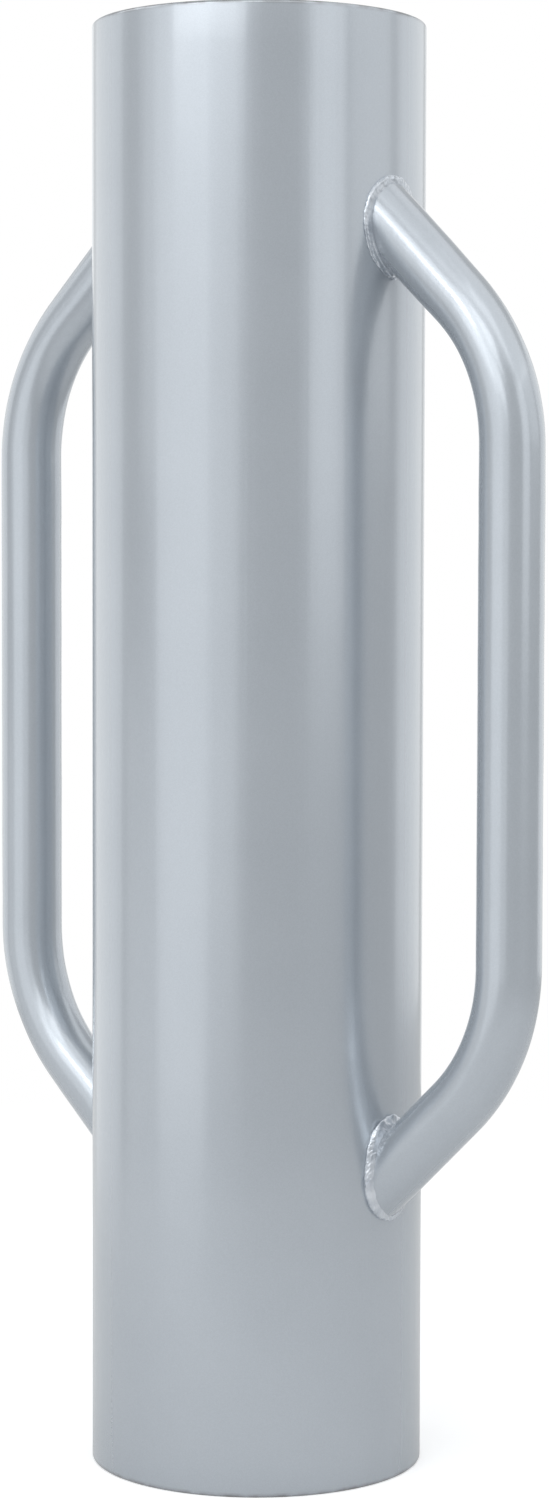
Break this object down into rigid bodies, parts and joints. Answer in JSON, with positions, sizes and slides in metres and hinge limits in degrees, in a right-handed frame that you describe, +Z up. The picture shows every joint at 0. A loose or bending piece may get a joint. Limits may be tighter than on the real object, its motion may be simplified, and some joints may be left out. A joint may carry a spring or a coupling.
{
  "type": "post driver",
  "caption": "Manual post driver: a heavy steel tube, open at the mouth and closed by an anvil block at the top, with bent tubular grips welded along its sides.",
  "frame": {"origin": "centre of the open mouth, on the plane the tool stands on", "axes": "+Z up the barrel's axis towards the closed end, +X towards the right grip; both grips lie in the XZ plane"},
  "size_m": [0.2842, 0.1396, 0.604],
  "materials": {
    "silver_paint": "gloss silver-grey metallic paint",
    "bare_steel": "bare, hammered where the post strikes it"
  },
  "bodies": {
    "root": {"barrel_tube": "silver_paint", "anvil_block": "bare_steel", "anvil_weld": "bare_steel", "cap_plate": "silver_paint", "cap_weld": "silver_paint", "right_grip": "silver_paint", "left_grip": "silver_paint", "right_grip_upper_weld": "silver_paint", "right_grip_lower_weld": "silver_paint", "left_grip_upper_weld": "silver_paint", "left_grip_lower_weld": "silver_paint"}
  },
  "joints": []
}
